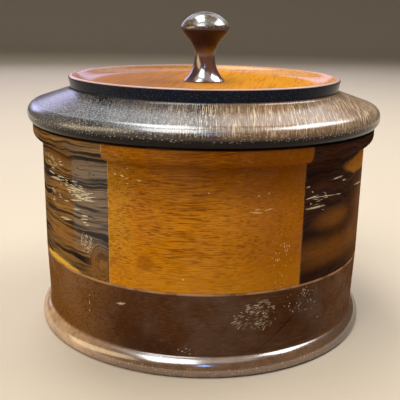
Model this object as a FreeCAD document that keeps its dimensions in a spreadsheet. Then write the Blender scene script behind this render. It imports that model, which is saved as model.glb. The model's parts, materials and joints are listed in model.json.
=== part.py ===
import FreeCAD, Part
import math
import os
from collections import namedtuple

import Sketcher

# Lidded jar turned from several woods: a dark base with a foot bead, a wall of six staves
# in two woods, and a loose lid made of a dark ring, a light dished plug and a knob.
# Millimetres, +Z up, origin at the middle of the foot, front of the jar towards -Y.

STAVE_PAIRS = 3

# Driving sizes, lengths in millimetres and angles in degrees.
driving = {
    "wall_radius": "69.6",
    "wall_thickness": "9.6",
    "wall_height": "54.5",
    "light_stave_angle": "62",
    "band_height": "7.4",
    "band_proud": "3.7",
    "band_top_round": "1.2",
    "mouth_round": "0.8",
    "base_height": "32.9",
    "base_taper": "0.8",
    "floor_thickness": "11",
    "floor_corner_round": "6",
    "foot_proud": "2.9",
    "foot_under_round": "1.6",
    "bead_round": "6.2",
    "foot_cove_width": "0.6",
    "foot_cove_height": "1.2",
    "foot_ring_width": "10",
    "foot_recess_depth": "1.5",
    "tongue_thickness": "4",
    "tongue_height": "3",
    "glue_gap": "0.1",
    "lid_overhang": "2",
    "lid_edge_round": "4.5",
    "lid_edge_cut": "1.1",
    "cone_angle": "18.4",
    "cone_width": "17.9",
    "collar_cove": "1.2",
    "collar_height": "5.5",
    "collar_flare": "0.7",
    "collar_round": "0.8",
    "collar_thickness": "1",
    "dish_depth": "6.1",
    "dish_cove_width": "10",
    "dish_lip_width": "1.4",
    "dish_lip_round": "0.5",
    "dish_thickness": "10",
    "spigot_depth": "6",
    "spigot_thickness": "7",
    "spigot_chamfer": "0.8",
    "lid_clearance": "0.6",
    "lid_hollow_round": "5",
    "knob_height": "32.5",
    "knob_head_radius": "10.5",
    "knob_head_drop": "6.8",
    "knob_head_round": "2.6",
    "knob_head_slope_angle": "45",
    "knob_waist_radius": "4.4",
    "knob_waist_height": "15.8",
    "knob_foot_radius": "12.5",
    "knob_foot_edge": "1",
    "tenon_radius": "4",
    "tenon_length": "8",
    "tenon_end_gap": "0.5",
    "cut_overrun": "5",
}

# Radii and heights that follow from the driving sizes, piece by piece.
worked_out = {
    "dark_stave_angle": f"360 / {STAVE_PAIRS} - light_stave_angle",
    # base
    "mouth_radius": "wall_radius - wall_thickness",
    "base_waist_radius": "wall_radius - base_taper",
    "foot_radius": "wall_radius + foot_proud",
    "foot_rest_radius": "foot_radius - foot_under_round",
    "foot_recess_radius": "foot_rest_radius - foot_ring_width",
    "bead_centre_radius": "foot_radius - bead_round",
    "foot_cove_radius": "base_waist_radius + foot_cove_width",
    "bead_reach": "foot_cove_radius - bead_centre_radius",
    "bead_top": "foot_under_round + sqrt(bead_round ^ 2 - bead_reach ^ 2)",
    "foot_top": "bead_top + foot_cove_height",
    "foot_cut_bottom": "-cut_overrun",
    "tongue_radius": "mouth_radius + tongue_thickness",
    "tongue_top": "base_height + tongue_height",
    "base_cut_top": "tongue_top + cut_overrun",
    "floor_flat_radius": "mouth_radius - floor_corner_round",
    "floor_corner_top": "floor_thickness + floor_corner_round",
    # staves
    "rebate_radius": "tongue_radius + glue_gap",
    "rebate_top": "tongue_top + glue_gap",
    "wall_top": "base_height + wall_height",
    "band_radius": "wall_radius + band_proud",
    "band_bottom": "wall_top - band_height",
    "band_round_top": "band_bottom + band_proud",
    "band_edge_radius": "band_radius - band_top_round",
    "band_edge_height": "wall_top - band_top_round",
    "mouth_edge_radius": "mouth_radius + mouth_round",
    "mouth_edge_height": "wall_top - mouth_round",
    # lid ring
    "lid_radius": "band_radius + lid_overhang",
    "lid_edge_centre_radius": "lid_radius - lid_edge_round",
    "lid_edge_centre_height": "wall_top + lid_edge_round - lid_edge_cut",
    "lid_seat_radius": "lid_edge_centre_radius + sqrt(2 * lid_edge_round * lid_edge_cut - lid_edge_cut ^ 2)",
    "cone_foot_radius": "lid_edge_centre_radius + lid_edge_round * sin(cone_angle * 1 deg)",
    "cone_foot_height": "lid_edge_centre_height + lid_edge_round * cos(cone_angle * 1 deg)",
    "collar_foot_radius": "lid_radius - cone_width",
    "cone_top": "cone_foot_height + (cone_foot_radius - collar_foot_radius) * tan(cone_angle * 1 deg)",
    "cove_outer_radius": "collar_foot_radius + collar_cove * cos(cone_angle * 1 deg)",
    "cove_outer_height": "cone_top - collar_cove * sin(cone_angle * 1 deg)",
    "cove_top": "cone_top + collar_cove",
    "lid_top": "cone_top + collar_height",
    "collar_radius": "collar_foot_radius + collar_flare",
    "collar_edge_radius": "collar_radius - collar_round",
    "collar_edge_height": "lid_top - collar_round",
    "lid_bore_radius": "collar_foot_radius - collar_thickness",
    # lid dish
    "plug_radius": "lid_bore_radius - glue_gap",
    "spigot_radius": "mouth_radius - lid_clearance",
    "spigot_bottom": "wall_top - spigot_depth",
    "spigot_tip_radius": "spigot_radius - spigot_chamfer",
    "spigot_tip_height": "spigot_bottom + spigot_chamfer",
    "dish_mouth_radius": "plug_radius - dish_lip_width",
    "dish_floor": "lid_top - dish_depth",
    "dish_floor_radius": "dish_mouth_radius - dish_cove_width",
    "dish_cut_top": "lid_top + cut_overrun",
    "lid_hollow_radius": "spigot_radius - spigot_thickness",
    "lid_hollow_top": "dish_floor - dish_thickness",
    "lid_hollow_flat_radius": "lid_hollow_radius - lid_hollow_round",
    "lid_hollow_side": "lid_hollow_top - lid_hollow_round",
    "lid_hollow_cut_bottom": "spigot_bottom - cut_overrun",
    "mortise_radius": "tenon_radius + glue_gap",
    "mortise_depth": "tenon_length + tenon_end_gap",
    # knob
    "tenon_bottom": "dish_floor - tenon_length",
    "knob_top": "dish_floor + knob_height",
    "knob_foot_top": "dish_floor + knob_foot_edge",
    "waist_level": "dish_floor + knob_waist_height",
    "head_slope_sine": "sin(knob_head_slope_angle * 1 deg)",
    "head_slope_cosine": "cos(knob_head_slope_angle * 1 deg)",
    "head_edge_radius": "knob_head_radius - knob_head_round",
    "head_edge_level": "knob_top - knob_head_drop",
    "head_under_radius": "head_edge_radius + knob_head_round * head_slope_sine",
    "head_under_level": "head_edge_level - knob_head_round * head_slope_cosine",
    "neck_rise": "(head_under_level - waist_level) * head_slope_cosine",
    "neck_reach": "(head_under_radius - knob_waist_radius) * head_slope_sine",
    "neck_round": "(neck_rise - neck_reach) / (1 - head_slope_sine)",
    "neck_top_radius": "knob_waist_radius + neck_round * (1 - head_slope_sine)",
    "neck_top_level": "waist_level + neck_round * head_slope_cosine",
    "crown_sagitta": "knob_head_drop - knob_head_round",
    "crown_square": "head_edge_radius ^ 2 + knob_head_drop ^ 2 - knob_head_round ^ 2",
    "crown_round": "crown_square / (2 * crown_sagitta)",
    "crown_centre_level": "knob_top - crown_round",
    "crown_edge_share": "crown_round / (crown_round - knob_head_round)",
    "crown_edge_radius": "head_edge_radius * crown_edge_share",
    "crown_edge_level": "crown_centre_level + (head_edge_level - crown_centre_level) * crown_edge_share",
}

# One run of a turned profile: a straight line, or an arc that has one coordinate of its centre named.
Line = namedtuple("Line", "radius height")
Arc = namedtuple("Arc", "radius height centre_axis centre clockwise")


def fill_sheet(doc):
    sheet = doc.addObject("Spreadsheet::Sheet", "Sizes")
    cells = list(driving.items())
    cells += [(alias, "=" + formula) for alias, formula in worked_out.items()]
    for row, (alias, content) in enumerate(cells, start=1):
        sheet.set(f"A{row}", alias)
        sheet.set(f"B{row}", content)
        sheet.setAlias(f"B{row}", alias)
    doc.recompute()
    return sheet


def size_of(alias):
    return 0.0 if alias == "0" else float(sheet.get(alias))


def arc_centre(start, end, axis, known):
    # the centre lies on the line that halves the chord squarely
    middle = (start + end) * 0.5
    chord = end - start
    if axis == "radius":
        return FreeCAD.Vector(known, middle.y - (known - middle.x) * chord.x / chord.y, 0)
    return FreeCAD.Vector(middle.x - (known - middle.y) * chord.y / chord.x, known, 0)


def arc_geometry(start, end, centre, clockwise):
    first, last = (end, start) if clockwise else (start, end)
    spoke = first - centre
    other = last - centre
    circle = Part.Circle(centre, FreeCAD.Vector(0, 0, 1), spoke.Length)
    return Part.ArcOfCircle(circle, math.atan2(spoke.y, spoke.x), math.atan2(other.y, other.x))


def bind(sketch, kind, geometry, point, alias, label):
    # ties one coordinate of a sketch point to a cell, or to the axis where it is zero
    if alias == "0":
        axis = -2 if kind == "DistanceX" else -1
        sketch.addConstraint(Sketcher.Constraint("PointOnObject", geometry, point, axis))
        return
    index = sketch.addConstraint(Sketcher.Constraint(kind, -1, 1, geometry, point, size_of(alias)))
    sketch.renameConstraint(index, label)
    sketch.setExpression(f"Constraints.{label}", f"Sizes.{alias}")


def origin_plane(body, role):
    return next(item for item in body.Origin.OriginFeatures if item.Role == role)


def new_sketch(body, name, role):
    sketch = body.newObject("Sketcher::SketchObject", name)
    sketch.AttachmentSupport = [(origin_plane(body, role), "")]
    sketch.MapMode = "FlatFace"
    return sketch


def profile_sketch(body, name, outline):
    # closed outline in radius and height, each corner tied to the cells that it is named after
    sketch = new_sketch(body, name, "XZ_Plane")
    corners = [FreeCAD.Vector(size_of(run.radius), size_of(run.height), 0) for run in outline]
    ends = []
    for index, run in enumerate(outline):
        start = corners[index - 1]
        end = corners[index]
        if isinstance(run, Line):
            geometry = sketch.addGeometry(Part.LineSegment(start, end))
            ends.append((geometry, 1, 2))
        else:
            centre = arc_centre(start, end, run.centre_axis, size_of(run.centre))
            geometry = sketch.addGeometry(arc_geometry(start, end, centre, run.clockwise))
            ends.append((geometry, 2, 1) if run.clockwise else (geometry, 1, 2))
    for index, run in enumerate(outline):
        geometry, _, last = ends[index]
        following, first, _ = ends[(index + 1) % len(ends)]
        sketch.addConstraint(Sketcher.Constraint("Coincident", geometry, last, following, first))
        bind(sketch, "DistanceX", geometry, last, run.radius, f"radius_{index}")
        bind(sketch, "DistanceY", geometry, last, run.height, f"height_{index}")
        if isinstance(run, Arc):
            kind = "DistanceX" if run.centre_axis == "radius" else "DistanceY"
            bind(sketch, kind, geometry, 3, run.centre, f"centre_{index}")
    return sketch


def revolve(body, kind, name, outline):
    sketch = profile_sketch(body, f"{name}_profile", outline)
    feature = body.newObject(f"PartDesign::{kind}", name)
    feature.Profile = sketch
    feature.ReferenceAxis = (sketch, ["V_Axis"])
    feature.Angle = 360
    return feature


def new_body(doc, node):
    body = doc.addObject("PartDesign::Body", node)
    body.Label = node
    return body


def make_base(doc):
    body = new_body(doc, "base")
    revolve(body, "Revolution", "base_block", [
        Line("0", "0"),
        Line("foot_rest_radius", "0"),
        Arc("foot_radius", "foot_under_round", "radius", "foot_rest_radius", False),
        Arc("foot_cove_radius", "bead_top", "radius", "bead_centre_radius", False),
        Arc("base_waist_radius", "foot_top", "height", "foot_top", True),
        Line("wall_radius", "base_height"),
        Line("tongue_radius", "base_height"),
        Line("tongue_radius", "tongue_top"),
        Line("0", "tongue_top"),
    ])
    revolve(body, "Groove", "base_hollow", [
        Line("0", "floor_thickness"),
        Line("floor_flat_radius", "floor_thickness"),
        Arc("mouth_radius", "floor_corner_top", "radius", "floor_flat_radius", False),
        Line("mouth_radius", "base_cut_top"),
        Line("0", "base_cut_top"),
    ])
    revolve(body, "Groove", "foot_recess", [
        Line("0", "foot_cut_bottom"),
        Line("foot_recess_radius", "foot_cut_bottom"),
        Line("foot_recess_radius", "foot_recess_depth"),
        Line("0", "foot_recess_depth"),
    ])


def make_stave(doc, node, angle_alias, turn):
    # one glued stave: its mitred sides are the ends of a part turn, its band is turned in one with it
    body = new_body(doc, node)
    stave = revolve(body, "Revolution", f"{node}_turn", [
        Line("rebate_radius", "base_height"),
        Line("wall_radius", "base_height"),
        Line("wall_radius", "band_bottom"),
        Arc("band_radius", "band_round_top", "radius", "wall_radius", False),
        Line("band_radius", "band_edge_height"),
        Arc("band_edge_radius", "wall_top", "radius", "band_edge_radius", False),
        Line("mouth_edge_radius", "wall_top"),
        Arc("mouth_radius", "mouth_edge_height", "radius", "mouth_edge_radius", False),
        Line("mouth_radius", "rebate_top"),
        Line("rebate_radius", "rebate_top"),
    ])
    stave.Midplane = True
    stave.setExpression("Angle", f"Sizes.{angle_alias}")
    body.Placement = FreeCAD.Placement(FreeCAD.Vector(), FreeCAD.Rotation(FreeCAD.Vector(0, 0, 1), turn))


def make_wall(doc):
    # light and dark staves by turns round the wall, the first light one at the front
    front = -90
    pair_turn = 360 / STAVE_PAIRS
    for pair in range(STAVE_PAIRS):
        turn = front + pair * pair_turn
        make_stave(doc, f"wall_light_{pair + 1}", "light_stave_angle", turn)
        make_stave(doc, f"wall_dark_{pair + 1}", "dark_stave_angle", turn + pair_turn / 2)


def make_lid_ring(doc):
    body = new_body(doc, "lid_ring")
    revolve(body, "Revolution", "ring_turn", [
        Line("lid_bore_radius", "wall_top"),
        Line("lid_seat_radius", "wall_top"),
        Arc("cone_foot_radius", "cone_foot_height", "height", "lid_edge_centre_height", False),
        Line("cove_outer_radius", "cove_outer_height"),
        Arc("collar_foot_radius", "cove_top", "height", "cove_top", True),
        Line("collar_radius", "collar_edge_height"),
        Arc("collar_edge_radius", "lid_top", "radius", "collar_edge_radius", False),
        Line("lid_bore_radius", "lid_top"),
    ])


def make_lid_dish(doc):
    body = new_body(doc, "lid_dish")
    revolve(body, "Revolution", "plug_turn", [
        Line("0", "spigot_bottom"),
        Line("spigot_tip_radius", "spigot_bottom"),
        Line("spigot_radius", "spigot_tip_height"),
        Line("spigot_radius", "wall_top"),
        Line("plug_radius", "wall_top"),
        Line("plug_radius", "lid_top"),
        Line("0", "lid_top"),
    ])
    revolve(body, "Groove", "dish_hollow", [
        Line("0", "dish_floor"),
        Line("dish_floor_radius", "dish_floor"),
        Arc("dish_mouth_radius", "lid_top", "radius", "dish_floor_radius", False),
        Line("dish_mouth_radius", "dish_cut_top"),
        Line("0", "dish_cut_top"),
    ])
    revolve(body, "Groove", "under_hollow", [
        Line("0", "lid_hollow_cut_bottom"),
        Line("lid_hollow_radius", "lid_hollow_cut_bottom"),
        Line("lid_hollow_radius", "lid_hollow_side"),
        Arc("lid_hollow_flat_radius", "lid_hollow_top", "radius", "lid_hollow_flat_radius", False),
        Line("0", "lid_hollow_top"),
    ])
    cut_mortise(doc, body)
    round_lip(doc, body)


def cut_mortise(doc, body):
    sketch = new_sketch(body, "mortise_profile", "XY_Plane")
    sketch.setExpression("AttachmentOffset.Base.z", "Sizes.dish_floor")
    centre = FreeCAD.Vector()
    circle = Part.Circle(centre, FreeCAD.Vector(0, 0, 1), size_of("mortise_radius"))
    geometry = sketch.addGeometry(circle)
    sketch.addConstraint(Sketcher.Constraint("Coincident", geometry, 3, -1, 1))
    index = sketch.addConstraint(Sketcher.Constraint("Radius", geometry, size_of("mortise_radius")))
    sketch.renameConstraint(index, "mortise_radius")
    sketch.setExpression("Constraints.mortise_radius", "Sizes.mortise_radius")
    pocket = body.newObject("PartDesign::Pocket", "mortise")
    pocket.Profile = sketch
    pocket.setExpression("Length", "Sizes.mortise_depth")
    doc.recompute()


def round_lip(doc, body):
    # the inner edge of the dish's lip is the circle at the lid's top with the dish's mouth radius
    base = body.Tip
    mouth = size_of("dish_mouth_radius")
    top = size_of("lid_top")
    names = [f"Edge{number}" for number, edge in enumerate(base.Shape.Edges, start=1)
             if isinstance(edge.Curve, Part.Circle)
             and math.isclose(edge.Curve.Radius, mouth, rel_tol=1e-6)
             and math.isclose(edge.Curve.Center.z, top, rel_tol=1e-6)]
    fillet = body.newObject("PartDesign::Fillet", "lip_round")
    fillet.Base = (base, names)
    fillet.setExpression("Radius", "Sizes.dish_lip_round")


def make_knob(doc):
    body = new_body(doc, "knob")
    revolve(body, "Revolution", "knob_turn", [
        Line("0", "tenon_bottom"),
        Line("tenon_radius", "tenon_bottom"),
        Line("tenon_radius", "dish_floor"),
        Line("knob_foot_radius", "dish_floor"),
        Line("knob_foot_radius", "knob_foot_top"),
        Arc("knob_waist_radius", "waist_level", "height", "waist_level", True),
        Arc("neck_top_radius", "neck_top_level", "height", "waist_level", True),
        Line("head_under_radius", "head_under_level"),
        Arc("crown_edge_radius", "crown_edge_level", "radius", "head_edge_radius", False),
        Arc("0", "knob_top", "radius", "0", False),
    ])


def check_document(doc):
    for item in doc.Objects:
        if "Invalid" in item.State or "Error" in item.State:
            raise RuntimeError(f"{item.Name} failed: {item.State}")
        if item.TypeId == "Sketcher::SketchObject" and not item.FullyConstrained:
            raise RuntimeError(f"{item.Name} is not fully constrained")


def write_pieces(doc):
    bodies = [item for item in doc.Objects if item.TypeId == "PartDesign::Body"]
    for body in bodies:
        shape = body.Shape
        if shape.isNull() or not shape.isValid() or len(shape.Solids) != 1:
            raise RuntimeError(f"{body.Label} is not one valid solid")
    os.makedirs("parts", exist_ok=True)
    for body in bodies:
        body.Shape.exportStep(f"parts/{body.Label}.step")
        box = body.Shape.optimalBoundingBox(False, False)
        print(f"{body.Label}: {body.Shape.Volume:.1f} mm3, z {box.ZMin:.2f} to {box.ZMax:.2f}, "
              f"x {box.XMin:.2f} to {box.XMax:.2f}")


document = FreeCAD.newDocument("lidded_jar")
sheet = fill_sheet(document)
make_base(document)
make_wall(document)
make_lid_ring(document)
make_lid_dish(document)
make_knob(document)
document.recompute()
check_document(document)
write_pieces(document)
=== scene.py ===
import json
import math

import bmesh
import bpy
from mathutils import Matrix, Vector


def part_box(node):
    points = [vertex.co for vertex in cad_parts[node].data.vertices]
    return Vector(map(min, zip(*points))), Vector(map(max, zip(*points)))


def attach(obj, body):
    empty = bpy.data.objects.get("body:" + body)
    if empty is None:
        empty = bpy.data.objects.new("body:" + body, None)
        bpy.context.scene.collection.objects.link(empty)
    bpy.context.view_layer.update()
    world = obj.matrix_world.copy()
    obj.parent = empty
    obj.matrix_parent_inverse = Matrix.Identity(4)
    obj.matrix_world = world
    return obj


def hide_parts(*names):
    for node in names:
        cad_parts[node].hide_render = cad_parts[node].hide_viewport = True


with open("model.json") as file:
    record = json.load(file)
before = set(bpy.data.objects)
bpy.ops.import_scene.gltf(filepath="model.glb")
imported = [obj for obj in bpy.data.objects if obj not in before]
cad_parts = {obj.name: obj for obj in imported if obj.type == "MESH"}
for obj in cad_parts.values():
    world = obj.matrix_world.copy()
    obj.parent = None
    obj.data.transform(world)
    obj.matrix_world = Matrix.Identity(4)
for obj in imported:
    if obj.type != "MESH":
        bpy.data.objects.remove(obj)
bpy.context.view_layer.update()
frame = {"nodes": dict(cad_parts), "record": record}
print("frame loaded:", len(frame["nodes"]), "nodes")

mm = 0.001
mergeGap = 0.001 * mm
quarter = 90  # degrees
frontAngle = -90  # the front of the jar faces -Y
stavePairs = 3
roundSteps = 240  # round the wide pieces
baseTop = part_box("wall_light_1")[0].z
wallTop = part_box("wall_light_1")[1].z
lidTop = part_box("lid_ring")[1].z
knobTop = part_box("knob")[1].z


# turned profiles: a pen walks round the outline in radius and height, then the outline is spun about Z

def startPen(radius, height):
    bm = bmesh.new()
    return {"bm": bm, "tip": bm.verts.new((radius, 0, height))}


def lineTo(pen, radius, height):
    grown = bmesh.ops.extrude_vert_indiv(pen["bm"], verts=[pen["tip"]])
    pen["tip"] = grown["verts"][0]
    pen["tip"].co = (radius, 0, height)


def arcTo(pen, centreRadius, centreHeight, degrees, steps):
    # positive degrees turn anticlockwise, with radius to the right and height up
    grown = bmesh.ops.spin(pen["bm"], geom=[pen["tip"]], cent=(centreRadius, 0, centreHeight),
                           axis=(0, 1, 0), angle=-math.radians(degrees), steps=steps)
    pen["tip"] = next(item for item in grown["geom_last"] if isinstance(item, bmesh.types.BMVert))


def closePen(pen):
    pen["bm"].verts.ensure_lookup_table()
    pen["bm"].edges.new((pen["tip"], pen["bm"].verts[0]))


def spinRound(bm, steps):
    bmesh.ops.spin(bm, geom=bm.verts[:] + bm.edges[:], cent=(0, 0, 0), axis=(0, 0, 1),
                   angle=math.tau, steps=steps, use_merge=True)
    bmesh.ops.remove_doubles(bm, verts=bm.verts[:], dist=mergeGap)
    bmesh.ops.recalc_face_normals(bm, faces=bm.faces[:])


def meshObject(bm, name, sharpDegrees=28):
    mesh = bpy.data.meshes.new(name)
    bm.to_mesh(mesh)
    bm.free()
    mesh.shade_smooth()
    mesh.set_sharp_from_angle(angle=math.radians(sharpDegrees))
    made = bpy.data.objects.new(name, mesh)
    bpy.context.scene.collection.objects.link(made)
    return made


def standFor(piece, node):
    bodies = frame["record"]["behaviour"]["bodies"]
    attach(piece, next(body for body, members in bodies.items() if node in members))
    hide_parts(node)
    return piece


baseBlock = {
    "wallRadius": 69.6 * mm,
    "waistRadius": 68.8 * mm,
    "footRadius": 72.5 * mm,
    "footUnderRound": 1.6 * mm,
    "beadRound": 6.2 * mm,
    "coveWidth": 0.6 * mm,
    "coveHeight": 1.2 * mm,
    "ringWidth": 10 * mm,
    "recessDepth": 1.5 * mm,
    "floor": 11 * mm,
    "floorRound": 6 * mm,
    "mouthRadius": 60 * mm,
    "tongueRadius": 64 * mm,
    "tongueHeight": 3 * mm,
    "edgeEase": 0.25 * mm,
}


def makeBase(cfg):
    under = cfg["footUnderRound"]
    restRadius = cfg["footRadius"] - under
    recess = restRadius - cfg["ringWidth"]
    beadCentre = cfg["footRadius"] - cfg["beadRound"]
    beadReach = cfg["waistRadius"] + cfg["coveWidth"] - beadCentre
    beadTurn = math.acos(beadReach / cfg["beadRound"])
    beadTop = under + cfg["beadRound"] * math.sin(beadTurn)
    coveRound = (cfg["coveWidth"] ** 2 + cfg["coveHeight"] ** 2) / (2 * cfg["coveWidth"])
    coveTurn = math.asin(cfg["coveHeight"] / coveRound)
    ease = cfg["edgeEase"]
    tongueTop = baseTop + cfg["tongueHeight"]
    floorCentre = cfg["floor"] + cfg["floorRound"]
    pen = startPen(0, cfg["recessDepth"])
    lineTo(pen, recess, cfg["recessDepth"])
    lineTo(pen, recess, 0)
    lineTo(pen, restRadius, 0)
    arcTo(pen, restRadius, under, quarter, steps=8)
    arcTo(pen, beadCentre, under, math.degrees(beadTurn), steps=20)
    arcTo(pen, cfg["waistRadius"] + coveRound, beadTop + cfg["coveHeight"], -math.degrees(coveTurn), steps=6)
    lineTo(pen, cfg["wallRadius"], baseTop - ease)
    arcTo(pen, cfg["wallRadius"] - ease, baseTop - ease, quarter, steps=3)
    lineTo(pen, cfg["tongueRadius"], baseTop)
    lineTo(pen, cfg["tongueRadius"], tongueTop)
    lineTo(pen, cfg["mouthRadius"], tongueTop)
    lineTo(pen, cfg["mouthRadius"], floorCentre)
    arcTo(pen, cfg["mouthRadius"] - cfg["floorRound"], floorCentre, -quarter, steps=10)
    lineTo(pen, 0, cfg["floor"])
    spinRound(pen["bm"], roundSteps)
    return standFor(meshObject(pen["bm"], "baseTurned"), "base")


stave = {
    "lightAngle": 62,
    "wallRadius": 69.6 * mm,
    "mouthRadius": 60 * mm,
    "rebateRadius": 64.1 * mm,
    "rebateHeight": 3.1 * mm,
    "bandProud": 3.7 * mm,
    "bandHeight": 7.4 * mm,
    "bandTopRound": 1.2 * mm,
    "mouthRound": 0.8 * mm,
    "footEase": 0.2 * mm,
    "jointEase": 0.12 * mm,
    "stepsPerStave": 44,
}


def drawStaveOutline(cfg):
    bandBottom = wallTop - cfg["bandHeight"]
    bandRadius = cfg["wallRadius"] + cfg["bandProud"]
    rebateTop = baseTop + cfg["rebateHeight"]
    top = cfg["bandTopRound"]
    mouth = cfg["mouthRound"]
    ease = cfg["footEase"]
    pen = startPen(cfg["rebateRadius"], baseTop)
    lineTo(pen, cfg["wallRadius"] - ease, baseTop)
    arcTo(pen, cfg["wallRadius"] - ease, baseTop + ease, quarter, steps=3)
    lineTo(pen, cfg["wallRadius"], bandBottom)
    arcTo(pen, cfg["wallRadius"], bandBottom + cfg["bandProud"], quarter, steps=12)
    lineTo(pen, bandRadius, wallTop - top)
    arcTo(pen, bandRadius - top, wallTop - top, quarter, steps=6)
    lineTo(pen, cfg["mouthRadius"] + mouth, wallTop)
    arcTo(pen, cfg["mouthRadius"] + mouth, wallTop - mouth, quarter, steps=5)
    lineTo(pen, cfg["mouthRadius"], rebateTop)
    lineTo(pen, cfg["rebateRadius"], rebateTop)
    closePen(pen)
    return pen["bm"]


def makeStave(cfg, name, node, middle, span):
    bm = drawStaveOutline(cfg)
    bmesh.ops.remove_doubles(bm, verts=bm.verts[:], dist=mergeGap)
    bmesh.ops.contextual_create(bm, geom=bm.edges[:])
    start = Matrix.Rotation(math.radians(middle - span / 2), 3, "Z")
    bmesh.ops.rotate(bm, verts=bm.verts[:], cent=(0, 0, 0), matrix=start)
    bmesh.ops.spin(bm, geom=bm.verts[:] + bm.edges[:] + bm.faces[:], cent=(0, 0, 0), axis=(0, 0, 1),
                   angle=math.radians(span), steps=cfg["stepsPerStave"])
    bmesh.ops.recalc_face_normals(bm, faces=bm.faces[:])
    ends = [face for face in bm.faces if len(face.verts) > 4]  # the two mitred faces
    rims = list({edge for face in ends for edge in face.edges})
    bmesh.ops.bevel(bm, geom=rims, offset=cfg["jointEase"], affect="EDGES", segments=1, profile=0.5,
                    material=-1)
    return standFor(meshObject(bm, name), node)


def staveMiddle(kind, pair):
    # light and dark staves by turns, the first light one facing the front
    turns = pair + (0.5 if kind == "dark" else 0)
    return frontAngle + turns * 360 / stavePairs


def staveSpan(kind):
    light = stave["lightAngle"]
    return light if kind == "light" else 360 / stavePairs - light


def makeWall(cfg):
    return {(kind, pair): makeStave(cfg, f"{kind}Stave{pair + 1}", f"wall_{kind}_{pair + 1}",
                                    staveMiddle(kind, pair), staveSpan(kind))
            for kind in ("light", "dark") for pair in range(stavePairs)}


lidRing = {
    "radius": 75.3 * mm,
    "edgeRound": 4.5 * mm,
    "edgeCut": 1.1 * mm,
    "coneAngle": 18.4,
    "collarFoot": 57.4 * mm,
    "collarFlare": 0.7 * mm,
    "collarRound": 0.8 * mm,
    "cove": 1.2 * mm,
    "bore": 56.4 * mm,
}


def makeLidRing(cfg):
    slope = math.radians(cfg["coneAngle"])
    centre = cfg["radius"] - cfg["edgeRound"]
    lift = cfg["edgeRound"] - cfg["edgeCut"]
    under = math.degrees(math.asin(lift / cfg["edgeRound"]))
    seat = centre + math.sqrt(cfg["edgeRound"] ** 2 - lift ** 2)
    coneFootRadius = centre + cfg["edgeRound"] * math.sin(slope)
    coneFoot = wallTop + lift + cfg["edgeRound"] * math.cos(slope)
    coneTop = coneFoot + (coneFootRadius - cfg["collarFoot"]) * math.tan(slope)
    coveRound = cfg["cove"] * math.tan((math.radians(quarter) + slope) / 2)
    steep = quarter - cfg["coneAngle"]
    collar = cfg["collarFoot"] + cfg["collarFlare"]
    soft = cfg["collarRound"]
    pen = startPen(cfg["bore"], wallTop)
    lineTo(pen, seat, wallTop)
    arcTo(pen, centre, wallTop + lift, under + steep, steps=28)
    lineTo(pen, cfg["collarFoot"] + cfg["cove"] * math.cos(slope), coneTop - cfg["cove"] * math.sin(slope))
    arcTo(pen, cfg["collarFoot"] + coveRound, coneTop + cfg["cove"], -steep, steps=8)
    lineTo(pen, collar, lidTop - soft)
    arcTo(pen, collar - soft, lidTop - soft, quarter, steps=6)
    lineTo(pen, cfg["bore"], lidTop)
    closePen(pen)
    spinRound(pen["bm"], roundSteps)
    return standFor(meshObject(pen["bm"], "lidRingTurned"), "lid_ring")


lidDish = {
    "plugRadius": 56.3 * mm,
    "spigotRadius": 59.4 * mm,
    "spigotChamfer": 0.8 * mm,
    "hollowRadius": 52.4 * mm,
    "hollowRound": 5 * mm,
    "thickness": 13.3 * mm,
    "depth": 2.8 * mm,
    "coveWidth": 7 * mm,
    "lip": 1.4 * mm,
    "lipEase": 0.4 * mm,
    "mortiseRadius": 4.1 * mm,
    "mortiseDepth": 8.5 * mm,
}


def makeLidDish(cfg):
    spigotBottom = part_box("lid_dish")[0].z
    floor = lidTop - cfg["depth"]
    floorRadius = cfg["plugRadius"] - cfg["lip"] - cfg["coveWidth"]
    coveRound = (cfg["coveWidth"] ** 2 + cfg["depth"] ** 2) / (2 * cfg["depth"])
    easeTurn = math.asin((cfg["coveWidth"] - cfg["lipEase"]) / coveRound)
    coveCentre = floor + coveRound
    hollowTop = floor - cfg["thickness"]
    soft = cfg["hollowRound"]
    pen = startPen(0, hollowTop)
    lineTo(pen, cfg["hollowRadius"] - soft, hollowTop)
    arcTo(pen, cfg["hollowRadius"] - soft, hollowTop - soft, -quarter, steps=8)
    lineTo(pen, cfg["hollowRadius"], spigotBottom)
    lineTo(pen, cfg["spigotRadius"] - cfg["spigotChamfer"], spigotBottom)
    lineTo(pen, cfg["spigotRadius"], spigotBottom + cfg["spigotChamfer"])
    lineTo(pen, cfg["spigotRadius"], wallTop)
    lineTo(pen, cfg["plugRadius"], wallTop)
    lineTo(pen, cfg["plugRadius"], lidTop)
    lineTo(pen, floorRadius + cfg["coveWidth"] + cfg["lipEase"], lidTop)
    lineTo(pen, floorRadius + coveRound * math.sin(easeTurn), coveCentre - coveRound * math.cos(easeTurn))
    arcTo(pen, floorRadius, coveCentre, -math.degrees(easeTurn), steps=16)
    lineTo(pen, cfg["mortiseRadius"], floor)
    lineTo(pen, cfg["mortiseRadius"], floor - cfg["mortiseDepth"])
    lineTo(pen, 0, floor - cfg["mortiseDepth"])
    spinRound(pen["bm"], roundSteps)
    return standFor(meshObject(pen["bm"], "lidDishTurned"), "lid_dish")


knob = {
    "headRadius": 10.5 * mm,
    "headDrop": 6.8 * mm,
    "headRound": 2.6 * mm,
    "headSlope": 45,
    "waistRadius": 4.4 * mm,
    "waistHeight": 11 * mm,
    "neckLength": 0.6 * mm,
    "footRadius": 8.9 * mm,
    "footEdge": 0.5 * mm,
    "tenonRadius": 4 * mm,
    "tenonLength": 8 * mm,
    "roundSteps": 128,
}


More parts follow.
